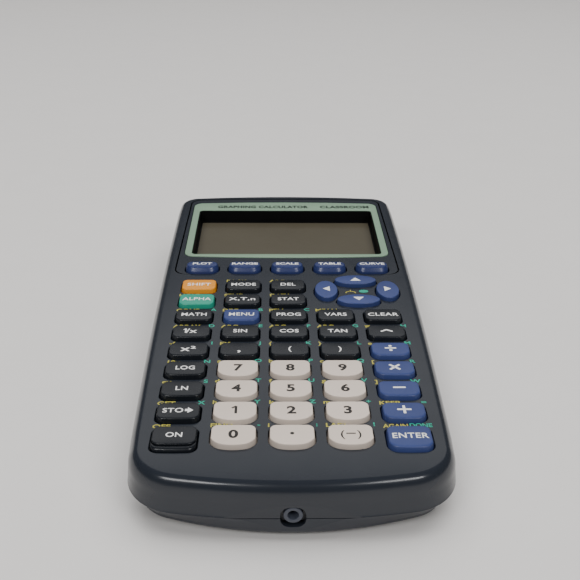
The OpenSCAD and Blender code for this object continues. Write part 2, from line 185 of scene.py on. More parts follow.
# ---------------------------------------------------------------- mesh building
class Solid:
    """A mesh under construction, with points in mm and a function that places them in the shared frame."""

    def __init__(self, place=from_face):
        self.bm = bmesh.new()
        self.place = place

    def ring(self, points, z=None, at=(0, 0)):
        if z is not None:
            points = [(x + at[0], y + at[1], z) for x, y in points]
        return [self.bm.verts.new(self.place(p)) for p in points]

    def bridge(self, a, b, material=0):
        n = len(a)
        for k in range(n):
            face = self.bm.faces.new((a[k], a[(k + 1) % n], b[(k + 1) % n], b[k]))
            face.material_index = material

    def loft(self, rings, material=0):
        for a, b in zip(rings, rings[1:]):
            self.bridge(a, b, material)

    def cap(self, ring, material=0):
        self.bm.faces.new(ring).material_index = material

    def plate(self, outer, holes, flat, material=0):
        """Fills between ring outer and rings holes. flat turns a vertex into its (x, y)."""
        rings = [outer, *holes]
        verts = [v for ring in rings for v in ring]
        flat_points = [Vector(flat(v.co)) for v in verts]
        edges, loops, start = [], [], 0
        for ring in rings:
            n = len(ring)
            edges += [(start + k, start + (k + 1) % n) for k in range(n)]
            loops.append(flat_points[start:start + n])
            start += n
        faces = delaunay_2d_cdt(flat_points, edges, [], 0, 1e-7)
        points, triangles, origin = faces[0], faces[2], faces[3]
        for tri in triangles:
            middle = (points[tri[0]] + points[tri[1]] + points[tri[2]]) / 3
            if not inside(middle, loops[0]) or any(inside(middle, h) for h in loops[1:]):
                continue
            corners = [verts[origin[k][0]] for k in tri]
            self.bm.faces.new(corners).material_index = material

    def add(self, mesh, material=0):
        """Takes in a finished mesh and then drops it."""
        before = len(self.bm.faces)
        self.bm.from_mesh(mesh)
        self.bm.faces.ensure_lookup_table()
        for face in self.bm.faces[before:]:
            face.material_index = material
        bpy.data.meshes.remove(mesh)

    def finish(self, name, materials, sharp=30.0):
        bmesh.ops.recalc_face_normals(self.bm, faces=self.bm.faces)
        limit = math.radians(sharp)
        for edge in self.bm.edges:
            edge.smooth = len(edge.link_faces) == 2 and edge.calc_face_angle(0) < limit
        for face in self.bm.faces:
            face.smooth = True
        mesh = bpy.data.meshes.new(name)
        self.bm.to_mesh(mesh)
        self.bm.free()
        for material in materials:
            mesh.materials.append(material)
        obj = bpy.data.objects.new(name, mesh)
        bpy.context.scene.collection.objects.link(obj)
        return obj


def inside(p, loop):
    hit = False
    for a, b in zip(loop, loop[1:] + loop[:1]):
        if (a.y > p.y) != (b.y > p.y) and p.x < (b.x - a.x) * (p.y - a.y) / (b.y - a.y) + a.x:
            hit = not hit
    return hit


def face_xy(co):
    p = to_face(co)
    return p.x * MM, p.y * MM


def table_xy(co):
    return co.x, co.y


def cut(obj, *cutters):
    """Cuts closed solids out of obj for good, and drops them."""
    for cutter in cutters:
        mod = obj.modifiers.new("cut", "BOOLEAN")
        mod.operation, mod.solver, mod.object = "DIFFERENCE", "EXACT", cutter
    bpy.context.view_layer.update()
    graph = bpy.context.evaluated_depsgraph_get()
    mesh = bpy.data.meshes.new_from_object(obj.evaluated_get(graph))
    obj.modifiers.clear()
    old, obj.data = obj.data, mesh
    mesh.name = obj.name
    bpy.data.meshes.remove(old)
    for cutter in cutters:
        bpy.data.objects.remove(cutter)
    flatten(mesh)


def flatten(mesh):
    """Flat shading on the recess and the floor, so that their round neighbours don't bend the light."""
    ahead = (from_face((0, -1, 0)) - from_face((0, 0, 0))).normalized()
    for face in mesh.polygons:
        level = abs(to_face(face.center).y - RECESS_Y) < LEVEL_WITHIN
        in_recess = level and face.normal.dot(ahead) > SQUARE_ABOVE
        on_floor = abs(face.center.z / MM - FLOOR_Z) < LEVEL_WITHIN and face.normal.z < -SQUARE_ABOVE
        if in_recess or on_floor:
            face.use_smooth = False


def prism(name, outline, z0, z1, place=from_face, at=(0, 0)):
    s = Solid(place)
    low, high = s.ring(outline, z0, at), s.ring(outline, z1, at)
    s.bridge(low, high)
    s.cap(low)
    s.cap(high)
    return s.finish(name, [])


# ---------------------------------------------------------------- materials
def linear(code):
    """A colour such as #3d4045 as linear red, green and blue."""
    parts = [int(code[k:k + 2], 16) / 255 for k in (1, 3, 5)]
    return [c / 12.92 if c <= 0.04045 else ((c + 0.055) / 1.055) ** 2.4 for c in parts]


def node(tree, kind, **values):
    made = tree.nodes.new(kind)
    for key, value in values.items():
        if hasattr(made, key):
            setattr(made, key, value)
        else:
            made.inputs[key.replace("_", " ")].default_value = value
    return made


def moulded(name, colour, rough, grain=0.25, depth=0.006, drift=0.12, wear=None, sheen=0.05, spec=0.5):
    """Moulded plastic. grain is its texture's size and depth its depth in mm; drift and sheen are how
    far its colour and its roughness wander; wear is a second colour that shows in small rubbed specks."""
    material = bpy.data.materials.new(name)
    material.use_nodes = True
    tree = material.node_tree
    link = tree.links.new
    shader = tree.nodes["Principled BSDF"]
    shader.inputs["Specular IOR Level"].default_value = spec
    where = node(tree, "ShaderNodeTexCoord").outputs["Object"]
    base = linear(colour)

    wander = node(tree, "ShaderNodeTexNoise", Scale=45.0, Detail=5.0, Roughness=0.6)
    link(where, wander.inputs["Vector"])
    tint = node(tree, "ShaderNodeValToRGB")
    tint.color_ramp.elements[0].position = 0.3
    tint.color_ramp.elements[1].position = 0.7
    tint.color_ramp.elements[0].color = [c * (1 - drift) for c in base] + [1]
    tint.color_ramp.elements[1].color = [min(1, c * (1 + drift)) for c in base] + [1]
    link(wander.outputs["Fac"], tint.inputs["Fac"])
    colour_out = tint.outputs["Color"]

    specks = node(tree, "ShaderNodeTexNoise", Scale=900.0, Detail=3.0, Roughness=0.75)
    link(where, specks.inputs["Vector"])
    if wear:
        mask = node(tree, "ShaderNodeValToRGB")
        mask.color_ramp.elements[0].position = 0.70
        mask.color_ramp.elements[1].position = 0.78
        link(specks.outputs["Fac"], mask.inputs["Fac"])
        blend = node(tree, "ShaderNodeMix", data_type="RGBA")
        blend.inputs[7].default_value = linear(wear) + [1]
        link(mask.outputs["Color"], blend.inputs[0])
        link(colour_out, blend.inputs[6])
        colour_out = blend.outputs[2]
    link(colour_out, shader.inputs["Base Color"])

    gloss = node(tree, "ShaderNodeMapRange", From_Min=0.3, From_Max=0.7,
                 To_Min=rough - sheen, To_Max=rough + sheen)
    smudge = node(tree, "ShaderNodeTexNoise", Scale=110.0, Detail=4.0, Roughness=0.55)
    link(where, smudge.inputs["Vector"])
    link(smudge.outputs["Fac"], gloss.inputs["Value"])
    link(gloss.outputs["Result"], shader.inputs["Roughness"])

    fine = node(tree, "ShaderNodeTexNoise", Scale=1 / (grain * MM), Detail=2.0, Roughness=0.5)
    link(where, fine.inputs["Vector"])
    bump = node(tree, "ShaderNodeBump", Strength=1.0, Distance=depth * MM)
    link(fine.outputs["Fac"], bump.inputs["Height"])
    link(bump.outputs["Normal"], shader.inputs["Normal"])
    return material


CASE = moulded("case_plastic", "#20242b", 0.22, grain=0.3, depth=0.002, drift=0.05, wear="#343840",
               sheen=0.02)
REAR = moulded("rear_plastic", "#22262e", 0.45, grain=0.4, depth=0.02, wear="#3c3f45")
DARK_KEY = moulded("dark_key_plastic", "#15181d", 0.27, grain=0.2, depth=0.003, sheen=0.03)
BLUE_KEY = moulded("blue_key_plastic", "#34406f", 0.34, grain=0.2, depth=0.004)
GRAPH_KEY = moulded("graph_key_plastic", "#27315c", 0.3, grain=0.2, depth=0.004)
LIGHT_KEY = moulded("light_key_plastic", "#d1c3b6", 0.4, grain=0.25, depth=0.005, drift=0.04)
ORANGE_KEY = moulded("orange_key_plastic", "#dc8e22", 0.3, grain=0.2, depth=0.004, drift=0.05)
GREEN_KEY = moulded("green_key_plastic", "#259179", 0.3, grain=0.2, depth=0.004, drift=0.05)
FRAME_GREEN = moulded("frame_paint", "#78927b", 0.42, grain=0.3, depth=0.003, drift=0.04)
WINDOW_WALL = moulded("window_wall_plastic", "#060607", 0.6, grain=0.3, depth=0.006, spec=0.2)
# Near-black for the face's groove: painted shade, standing in for the shadow inside the groove
GROOVE_PAINTED_SHADE = moulded("groove_painted_shade", "#050506", 0.8, grain=0.3, depth=0.006, spec=0.1)
WHITE_INK = moulded("white_ink", "#ecebe8", 0.5, depth=0.003, drift=0.03)
DARK_INK = moulded("dark_ink", "#2b2927", 0.5, depth=0.003, drift=0.05)
TITLE_INK = moulded("title_ink", "#18211c", 0.5, depth=0.003, drift=0.05)
YELLOW_INK = moulded("yellow_ink", "#aba244", 0.5, depth=0.003, drift=0.06)
GREEN_INK = moulded("green_ink", "#1f9a80", 0.5, depth=0.003, drift=0.06)
RUBBER = moulded("foot_rubber", "#1d1d1e", 0.75, grain=0.3, depth=0.02)
SILICONE = moulded("keypad_silicone", "#8d9294", 0.6, grain=0.5, depth=0.01)
BOARD = moulded("board_mask", "#1f5a36", 0.35, grain=0.6, depth=0.01)
CHIP = moulded("chip_resin", "#2b2d31", 0.5, grain=0.2, depth=0.01)
GREY_RING = moulded("jack_ring_plastic", "#3b3f49", 0.4, grain=0.2, depth=0.004)


def metal(name, colour, rough, grain):
    material = moulded(name, colour, rough, grain=grain, depth=0.006, drift=0.08)
    material.node_tree.nodes["Principled BSDF"].inputs["Metallic"].default_value = 1.0
    return material


NICKEL = metal("nickel", "#c4c4c2", 0.28, 0.2)
BLACK_STEEL = metal("blackened_steel", "#4a4a4c", 0.4, 0.2)
CELL = metal("cell_sleeve", "#b08d57", 0.35, 0.4)


def display_glass():
    """Unlit display: grey olive, with a faint grid of square picture cells."""
    material = moulded("display_glass", "#4b463a", 0.35, grain=3.0, depth=0.002, drift=0.04, spec=0.3)
    tree = material.node_tree
    shader = tree.nodes["Principled BSDF"]
    colour = shader.inputs["Base Color"].links[0].from_socket
    where = node(tree, "ShaderNodeTexCoord").outputs["Object"]
    cells = node(tree, "ShaderNodeTexBrick", offset=0.0, Scale=1.0, Mortar_Size=0.00004,
                 Brick_Width=0.00062, Row_Height=0.00062)
    cells.inputs["Color1"].default_value = (1, 1, 1, 1)
    cells.inputs["Color2"].default_value = (1, 1, 1, 1)
    cells.inputs["Mortar"].default_value = (0.9, 0.9, 0.9, 1)
    tree.links.new(where, cells.inputs["Vector"])
    blend = node(tree, "ShaderNodeMix", data_type="RGBA", blend_type="MULTIPLY")
    blend.inputs[0].default_value = 1.0
    tree.links.new(colour, blend.inputs[6])
    tree.links.new(cells.outputs["Color"], blend.inputs[7])
    tree.links.new(blend.outputs[2], shader.inputs["Base Color"])
    return material


GLASS = display_glass()


# ---------------------------------------------------------------- lettering and signs
# Height of a capital as a share of the font's size
CAPITAL = 0.73


def lettering(words, height, bold=0.0, spacing=1.0, width=1.0):
    """Words as flat outlines, centred on the origin, in mm: a mesh with a front and a back."""
    curve = bpy.data.curves.new("words", "FONT")
    curve.body, curve.size = words, height / CAPITAL
    curve.align_x, curve.align_y = "CENTER", "BOTTOM_BASELINE"
    curve.offset, curve.extrude = bold, INK_HALF
    curve.space_character = spacing
    curve.resolution_u = 4
    holder = bpy.data.objects.new("words", curve)
    bpy.context.scene.collection.objects.link(holder)
    bpy.context.view_layer.update()
    mesh = bpy.data.meshes.new_from_object(holder.evaluated_get(bpy.context.evaluated_depsgraph_get()))
    bpy.data.objects.remove(holder)
    bpy.data.curves.remove(curve)
    mesh.transform(Matrix.Translation((0, -height / 2, 0)))
    mesh.transform(Matrix.Diagonal((width, 1, 1, 1)))
    return mesh


def sliced(mesh, step=0.6):
    """Cuts a flat mesh along a grid, so that it can follow a curved surface."""
    bm = bmesh.new()
    bm.from_mesh(mesh)
    for axis in range(2):
        along = [v.co[axis] for v in bm.verts]
        for k in range(math.ceil(min(along) / step), math.floor(max(along) / step) + 1):
            point, normal = Vector(), Vector()
            point[axis], normal[axis] = k * step, 1.0
            geometry = [*bm.verts, *bm.edges, *bm.faces]
            bmesh.ops.bisect_plane(bm, geom=geometry, dist=1e-6, plane_co=point, plane_no=normal)
    bm.to_mesh(mesh)
    bm.free()
    return mesh


def sign(*polygons):
    """Convex polygons as thin plates, in mm."""
    bm = bmesh.new()
    for polygon in polygons:
        low = [bm.verts.new((x, y, -INK_HALF)) for x, y in polygon]
        high = [bm.verts.new((x, y, INK_HALF)) for x, y in polygon]
        bm.faces.new(list(reversed(low)))
        bm.faces.new(high)
        n = len(polygon)
        for k in range(n):
            bm.faces.new((low[k], low[(k + 1) % n], high[(k + 1) % n], high[k]))
    mesh = bpy.data.meshes.new("sign")
    bm.to_mesh(mesh)
    bm.free()
    return mesh


def ink_z(v, surface):
    """Height of a legend's vertex on a surface: its back lies sunk, and its front just proud."""
    return surface + (LEGEND_PROUD if v.co.z > 0 else -INK_ROOT)


def bar(w, h, x=0.0, y=0.0, turn=0.0):
    c, s = math.cos(math.radians(turn)), math.sin(math.radians(turn))
    corners = ((-w / 2, -h / 2), (w / 2, -h / 2), (w / 2, h / 2), (-w / 2, h / 2))
    return [(x + c * a - s * b, y + s * a + c * b) for a, b in corners]


def disc(r, x=0.0, y=0.0):
    return [(x + a, y + b) for a, b in ellipse(r, r, 20)]


def triangle(w, h, turn):
    c, s = math.cos(math.radians(turn)), math.sin(math.radians(turn))
    corners = ((-w / 2, -h / 2), (w / 2, -h / 2), (0, h / 2))
    return [(c * a - s * b, s * a + c * b) for a, b in corners]


# ---------------------------------------------------------------- keys
# Words on the keys. A key listed in SIGNS has a drawn sign instead, and key_legend draws the reciprocal.
WORDS = {
    "graph_1": "PLOT", "graph_2": "RANGE", "graph_3": "SCALE", "graph_4": "TABLE", "graph_5": "CURVE",
    "second": "SHIFT", "mode": "MODE", "del": "DEL", "alpha": "ALPHA", "variable": "X,T,n",
    "stat": "STAT", "math": "MATH", "apps": "MENU", "prgm": "PROG", "vars": "VARS",
    "clear": "CLEAR", "sin": "SIN", "cos": "COS", "tan": "TAN",
    "square": "x²", "comma": ",", "paren_open": "(", "paren_close": ")", "log": "LOG",
    "ln": "LN", "store": "STO", "on": "ON", "enter": "ENTER",
}
WORDS.update({str(k): str(k) for k in range(10)})
DOT = 0.46
SIGNS = {
    "divide": (bar(3.2, 0.62), disc(DOT, 0, 1.15), disc(DOT, 0, -1.15)),
    "multiply": (bar(3.7, 0.68, turn=42), bar(3.7, 0.68, turn=-42)),
    "minus": (bar(3.3, 0.62),),
    "plus": (bar(3.6, 0.66), bar(0.66, 3.4)),
    "power": (bar(2.1, 0.55, -0.8, 0, 30), bar(2.1, 0.55, 0.8, 0, -30)),
    "negative": (bar(2.3, 0.44),),
    "point": (disc(0.52, 0, 0.1),),
    "1": (bar(0.66, 3.2, 0.25), bar(1.4, 0.55, -0.25, 1.15, 38)),
    "up": (triangle(3.4, 2.2, 0),), "down": (triangle(3.4, 2.2, 180),),
    "left": (triangle(3.2, 2.2, 90),), "right": (triangle(3.2, 2.2, -90),),
}

# Radii of a key's far and near corners, and how far its near edge bows out
KEY_CORNERS = {"light": (1.8, 2.5, 1.5), "graph": (2.0, 2.9, 0.3), "blue": (1.7, 2.5, 0.35),
               "dark": (1.6, 1.9, 0.25), "ledge": (1.6, 1.9, 0.25)}
LEAST_CORNER = 0.5
# Height of each step up a key's side, then how far it is in at the sides, the far and the near edge
KEY_STEPS = {
    "light": ((-1.0, 0, 0, 0), (0.5, 0.05, 0.05, 0.08), (0.95, 0.12, 0.1, 0.18)),
    "dark": ((-1.0, 0, 0, 0), (0.1, 0.0, 0.0, 0.0), (0.75, 0.14, 0.1, 0.3)),
    "blue": ((-1.0, 0, 0, 0), (0.1, 0.0, 0.0, 0.0), (0.7, 0.14, 0.1, 0.3)),
    "graph": ((-1.0, 0, 0, 0), (0.1, 0.05, 0.0, 0.1), (0.9, 0.2, 0.1, 0.5), (1.35, 0.4, 0.2, 1.0)),
    "arrow": ((-1.0, 0, 0, 0), (0.1, 0.0, 0.0, 0.0), (0.85, 0.12, 0.12, 0.12)),
    "ledge": ((-1.0, 0, 0, 0), (0.1, 0.0, 0.0, 0.0), (0.5, 0.06, 0.05, 0.15), (0.74, 0.1, 0.08, 0.35),
              (0.84, 0.16, 0.1, 0.65), (0.84, 0.18, 0.1, 1.15), (0.7, 0.19, 0.1, 1.35),
              (0.2, 0.2, 0.11, 1.42), (0.2, 0.21, 0.12, 1.62), (0.95, 0.22, 0.14, 1.7)),
}
# Radius of the rounded top edge, and how much wider that roundness is at the near side
EDGE_R = {"light": 0.3, "dark": 0.35, "blue": 0.45, "graph": 0.9, "arrow": 0.3, "ledge": 0.3}
NEAR_ROLL = {"light": 1.0, "dark": 1.2, "blue": 1.7, "graph": 1.5, "arrow": 1.0, "ledge": 1.0}
CROWN = 0.1
# Rings of the crowned top: how far out they lie, and how much of the crown they have
TOP_RINGS = ((0.82, 0.5), (0.6, 1.0), (0.35, 1.0), (0.12, 1.0))


def key_place(name):
    """Middle and size of a key, without its flange, in the face frame."""
    low, high = leaned_box(name)
    middle = (low + high) / 2 - FACE_ORIGIN
    size = (high.x - low.x - 2 * FLANGE_RIM, high.y - low.y - 2 * FLANGE_RIM)
    return (middle.x, middle.y), size


def key_ring(kind, size, side, back, front):
    """Outline of a key, pulled in at its sides, its far edge and its near edge."""
    if kind == "arrow":
        return ellipse(size[0] / 2 - side, size[1] / 2 - side)
    half_w, half_d = size[0] / 2, size[1] / 2
    r_back, r_front, bow = KEY_CORNERS[kind]
    return rounded(half_w - side, half_d - back, half_d - front, max(LEAST_CORNER, r_back - side / 2),
                   max(LEAST_CORNER, r_front - side / 2), bow)


def key_top(at, size, top):
    """Height of the key's top above a point of it."""
    def height(x, y):
        u = 2 * (x - at[0]) / size[0]
        v = 2 * (y - at[1]) / size[1]
        return top + CROWN * (1 - min(1.0, u * u + v * v))
    return height


def key_cap(name, kind, plastic, ink):
    at, size = key_place(name)
    top = leaned_box(name)[1].z - FACE_ORIGIN.z - CROWN
    s = Solid()
    rings = []
    for z, grow in ((FLANGE_Z[0], FLANGE_RIM), (FLANGE_Z[1], FLANGE_RIM), (FLANGE_Z[1], 0.0)):
        rings.append(s.ring(key_ring(kind, size, -grow, -grow, -grow), z, at))
    for z, side, back, front in KEY_STEPS[kind]:
        rings.append(s.ring(key_ring(kind, size, side, back, front), z, at))
    z0, side0, back0, front0 = KEY_STEPS[kind][-1]
    for turn in range(15, 91, 15):
        a = math.radians(turn)
        grow, rise = EDGE_R[kind] * (1 - math.cos(a)), (top - z0) * math.sin(a)
        shape = key_ring(kind, size, side0 + grow, back0 + grow, front0 + grow * NEAR_ROLL[kind])
        rings.append(s.ring(shape, z0 + rise, at))
    height = key_top(at, size, top)
    edge = [to_face(v.co) for v in rings[-1]]
    ys = [p.y for p in edge]
    centre = Vector((at[0], (min(ys) + max(ys)) / 2, 0))
    for out, crown in TOP_RINGS:
        points = [centre + (Vector((p.x, p.y, 0)) - centre) * out for p in edge]
        rings.append(s.ring([(p.x, p.y, top + (height(p.x, p.y) - top) * crown) for p in points]))
    s.loft(rings)
    s.cap(rings[0])
    s.cap(rings[-1])
    legend = sliced(key_legend(name[4:], kind))
    for v in legend.vertices:
        x, y = v.co.x + centre.x, v.co.y + centre.y + LEGEND_SHIFT.get(kind, 0)
        v.co = from_face((x, y, ink_z(v, height(x, y))))
    s.add(legend, 1)
    cap = s.finish(name + "_cap", [plastic, ink], 40)
    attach(cap, name)
    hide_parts(name)


def slot_of(name):
    return next(p["material_slot"] for p in frame["record"]["subparts"] if p["node"] == name)


# Legends: how far up the key they sit, their heights, widths against plain letters, and thickening
LEGEND_SHIFT = {"light": 0.2, "graph": 0.1}
DIGIT_H, DIGIT_W, DIGIT_BOLD = 3.2, 1.08, 0.15
GRAPH_H, GRAPH_W, GRAPH_BOLD = 1.5, 1.3, 0.05
CAP_H, CAP_W, CAP_BOLD = 1.9, 1.06, 0.035
WORD_W = {"log": 1.0, "on": 1.0, "ln": 1.05, "clear": 1.15, "enter": 1.0, "variable": 1.35, "comma": 1.3,
          "square": 1.3, "second": 1.1}
WORD_H = {"square": 2.8, "comma": 3.4, "enter": 2.1, "paren_open": 2.3, "paren_close": 2.3}
WORD_SPACING = 1.05
# Brackets round the negative sign, letters after the drawn 1, and the arrow after the store word
SIGN_BOLD = 0.03
BRACKET_H, BRACKET_X = 2.7, 2.1
OVER_X_H, OVER_X_W = 2.5, 1.2
STORE_X, ARROW_X = -1.3, 3.1


def key_legend(word, kind):
    if word in SIGNS:
        mesh = sign(*SIGNS[word])
        if word == "negative":
            for sx, mark in ((-1, "("), (1, ")")):
                side = lettering(mark, BRACKET_H, SIGN_BOLD)
                side.transform(Matrix.Translation((sx * BRACKET_X, 0, 0)))
                mesh = joined(mesh, side)
        return mesh
    if word == "reciprocal":
        mesh = sign(bar(0.42, 2.3, -1.6), bar(0.9, 0.36, -1.9, 0.85, 38))
        return joined(mesh, lettering("/x", OVER_X_H, SIGN_BOLD, width=OVER_X_W))
    words = WORDS[word]
    if kind == "light":
        return lettering(words, DIGIT_H, DIGIT_BOLD, width=DIGIT_W)
    if kind == "graph":
        return lettering(words, GRAPH_H, GRAPH_BOLD, width=GRAPH_W)
    mesh = lettering(words, WORD_H.get(word, CAP_H), CAP_BOLD, WORD_SPACING, WORD_W.get(word, CAP_W))
    if word == "store":
        mesh.transform(Matrix.Translation((STORE_X, 0, 0)))
        arrow = sign(triangle(2.3, 1.4, -90), bar(0.8, 0.9, -1.0))
        arrow.transform(Matrix.Translation((ARROW_X, 0, 0)))
        mesh = joined(mesh, arrow)
    return mesh


def joined(a, b):
    bm = bmesh.new()
    bm.from_mesh(a)
    bm.from_mesh(b)
    bm.to_mesh(a)
    bm.free()
    bpy.data.meshes.remove(b)
    return a


def key_kind(name):
    """Shape, plastic and ink of a key."""
    if name in ("key_up", "key_down", "key_left", "key_right"):
        return "arrow", BLUE_KEY, WHITE_INK
    if name == "key_on":
        return "ledge", DARK_KEY, WHITE_INK
    return {
        "graph_key": ("graph", GRAPH_KEY, WHITE_INK), "blue_key": ("blue", BLUE_KEY, WHITE_INK),
        "number_key": ("light", LIGHT_KEY, DARK_INK), "orange_key": ("dark", ORANGE_KEY, WHITE_INK),
        "green_key": ("dark", GREEN_KEY, WHITE_INK), "dark_key": ("dark", DARK_KEY, WHITE_INK),
    }[slot_of(name)]


KEYS = sorted(n for n in frame["nodes"] if n.startswith("key_"))
for key_name in KEYS:
    key_cap(key_name, *key_kind(key_name))


# ---------------------------------------------------------------- front shell
# Parting line: height and depth of its dark gap, and the radius of the edge above it
SEAM_H = 0.2
SEAM_IN = 1.5
SEAM_R = 0.12
# Height of the flank's top, then the insets at the sides, the near end and the far end, there and at
# the face
FLANK_TOP = -5.0
FLANK_IN = (0.35, 0.9, 1.0)
FACE_IN = (3.6, 3.4, 5.9)
# Rings up the flank, as shares of its height; a power below 1 leans the near end in early
FLANK_RINGS = (0.1, 0.2, 0.35, 0.5, 0.75, 1.0)
NOSE_CURVE = 0.75
# The display frame and the window in it; its far and near edges bow, and lie past its straight outline
FRAME_AT = tuple(((leaned_box("display_window")[0] + leaned_box("display_window")[1]) / 2
                  - FACE_ORIGIN)[:2])
FRAME_SIZE = leaned_box("display_window")[1] - leaned_box("display_window")[0]
WINDOW = (65.2, 39.2)
WINDOW_AT = (0.0, FRAME_AT[1] - 2.8)
FRAME_BOW = 1.3
FRAME_LIP = (0.7, 0.6)
FRAME_CORNER = 3.0
WINDOW_CORNER = 1.0
# Inside of the front shell, going up: height, and insets at the sides and the near end
INSIDE = ((-FRONT_DEPTH, WALL, WALL), (-4.4, 2.2, 3.2), (-2.6, 3.6, 4.4), (-WALL, 5.0, 5.4))
# Gap round the display frame, depth of the ledge it sits on, and room round the window below it
FRAME_GAP = 0.2
LEDGE_D = 1.0
MOUTH_GAP = 1.3
MOUTH_CORNER = 2.0
# Slope round each key's opening
KEY_RIM = 0.12


def frame_outline(grow=0.0):
    """The green frame: straight sides, far and near edges bowed by FRAME_BOW."""
    half_w, half_l = FRAME_SIZE.x / 2 + grow, FRAME_SIZE.y / 2 + grow
    points = rounded(half_w, half_l + FRAME_LIP[0], half_l + FRAME_LIP[1],
                     FRAME_CORNER + grow, FRAME_CORNER + grow)
    return [(x, y - math.copysign(FRAME_BOW * (x / half_w) ** 2, y)) for x, y in points]


def opening_outline(name, grow):
    at, size = key_place(name)
    return [(x + at[0], y + at[1]) for x, y in key_ring(key_kind(name)[0], size, -grow, -grow, -grow)]


# Groove round the display panel: its section, corners and half its path, from the near end; its walls and bed are
# painted near-black as painted shade
GROOVE_W = 0.5
GROOVE_D = 0.6
GROOVE_R = 4.0
GROOVE_START = (31.0, 16.6)
GROOVE_SIDE = ((37.35, 24.5), (36.8, 80.0))
GROOVE_FAR = [(24.0, 84.05), (12.0, 84.45), (0.0, 84.6)]


def groove_outline():
    """Outline of the groove: up one side, round the far end, down the other."""
    (near_x, near_y), (far_x, far_y) = GROOVE_SIDE
    half = [GROOVE_START] + arc(near_x - GROOVE_R, near_y - 3.8, GROOVE_R, 280, 358, 8)
    half += [(near_x + (far_x - near_x) * k / 8, near_y + (far_y - near_y) * k / 8) for k in range(9)]
    half += arc(far_x - GROOVE_R, far_y - 0.4, GROOVE_R, 5, 84, 8)
    half += GROOVE_FAR
    path = half + mirrored(half)[1:]
    left, right = [], []
    for k, (x, y) in enumerate(path):
        ax, ay = path[max(0, k - 1)]
        bx, by = path[min(len(path) - 1, k + 1)]
        run = math.hypot(bx - ax, by - ay)
        w = GROOVE_W / 2 * min(1.0, 0.25 + min(k, len(path) - 1 - k) / 8)
        left.append((x - (by - ay) / run * w, y + (bx - ax) / run * w))
        right.append((x + (by - ay) / run * w, y - (bx - ax) / run * w))
    return left + right[::-1]


def front_shell():
    s = Solid()
    outer = []
    for z, inset in ((0, SEAM_IN), (SEAM_H, SEAM_IN), (SEAM_H, SEAM_R), (SEAM_H + SEAM_R / 4, SEAM_R / 4),
                     (SEAM_H + SEAM_R, 0)):
        outer.append(s.ring(case_outline(inset, inset), z - FRONT_DEPTH))
    flank_foot = SEAM_H + SEAM_R - FRONT_DEPTH
    side, nose, far = FLANK_IN
    for share in FLANK_RINGS:
        outer.append(s.ring(case_outline(side * share, nose * share ** NOSE_CURVE, far * share),
                            flank_foot + (FLANK_TOP - flank_foot) * share))
    for turn in range(9, 91, 9):
        a = math.radians(turn)
        insets = [low + (high - low) * (1 - math.cos(a)) for low, high in zip(FLANK_IN, FACE_IN)]
        outer.append(s.ring(case_outline(*insets), FLANK_TOP * (1 - math.sin(a))))
    inner = [s.ring(case_outline(side, nose), z) for z, side, nose in INSIDE]
    s.loft(outer)
    s.loft(inner)
    s.bridge(outer[0], inner[0])

    top_holes, under_holes = [], []
    for name in KEYS:
        rim = s.ring(opening_outline(name, KEY_GAP + KEY_RIM), 0)
        edge = s.ring(opening_outline(name, KEY_GAP), -KEY_RIM)
        foot = s.ring(opening_outline(name, KEY_GAP), -WALL)
        s.loft([rim, edge, foot])
        top_holes.append(rim)
        under_holes.append(foot)
    rim = s.ring(frame_outline(FRAME_GAP), 0, FRAME_AT)
    ledge = s.ring(frame_outline(FRAME_GAP), -LEDGE_D, FRAME_AT)
    half_w, half_l = WINDOW[0] / 2 + MOUTH_GAP, WINDOW[1] / 2 + MOUTH_GAP
    window = rounded(half_w, half_l, half_l, MOUTH_CORNER, MOUTH_CORNER)
    mouth, foot = s.ring(window, -LEDGE_D, WINDOW_AT), s.ring(window, -WALL, WINDOW_AT)
    s.bridge(rim, ledge)
    s.plate(ledge, [mouth], face_xy)
    s.bridge(mouth, foot)
    top_holes.append(rim)
    under_holes.append(foot)
    groove, bed = s.ring(groove_outline(), 0), s.ring(groove_outline(), -GROOVE_D)
    # Material 1 on the groove's walls and bed: near-black painted shade
    s.bridge(groove, bed, 1)
    s.plate(bed, [], face_xy, 1)
    top_holes.append(groove)
    s.plate(outer[-1], top_holes, face_xy)
    s.plate(inner[-1], under_holes, face_xy)
    shell = s.finish("front_shell", [CASE, GROOVE_PAINTED_SHADE])
    cut(shell, recess_cutter(), port_cutter())
    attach(shell, "case")
    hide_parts("front_case")


# Opening for the jack: half its size, its corners and its drop below the jack; top of the near flat
PORT_SIZE = (3.0, 2.85)
PORT_CORNER = 2.3
PORT_DROP = 0.5
RECESS_TOP = -4.0
# How far the recess cutter reaches past the flat and down, and the jack's cutter in front and behind
RECESS_CUT = (6, 12)
PORT_CUT = (-1, 3)


def recess_cutter():
    ahead, down = RECESS_CUT
    outline = rounded(CASE_W / 2, RECESS_Y, ahead - RECESS_Y, 0.2, 0.2)
    return prism("recess_cutter", outline, RECESS_TOP - down, RECESS_TOP)


def port_cutter():
    def place(p):
        return from_face((p[0], p[2] + RECESS_Y, p[1] + JACK_Z - PORT_DROP))
    half_w, half_h = PORT_SIZE
    outline = rounded(half_w, half_h, half_h, PORT_CORNER, PORT_CORNER)
    return prism("port_cutter", outline, *PORT_CUT, place)


front_shell()


# ---------------------------------------------------------------- rear shell and feet
# Rear shell: insets of its lower edge and of its floor at the sides, the near end and the far end
REAR_EDGE_IN = (3.0, 1.3, 2.2)
FLOOR_IN = (4.5, 8.2, 2.8)
# How far its top edge is in from the front shell's, and its inside above its outside at the lower
# edge and at the floor
REAR_STEP = 0.35
INNER_UP = (1.4, 1.8)
# Gap round the cell cover, the bay's corners, screw wells, and how far a screw's points are from its middle
COVER_GAP = 0.3
BAY_CORNER = 1.2
SCREW_WELL_R = 2.7
SCREW_REACH = 6
# Heights that the bay's and the screw wells' cutters span
BAY_Z = (-1, 8)
WELL_Z = (-30, -10)
# Rings down the rear wall, as shares of the way to its lower edge
REAR_RINGS = (0, 0.04, 0.3, 0.6, 0.9)


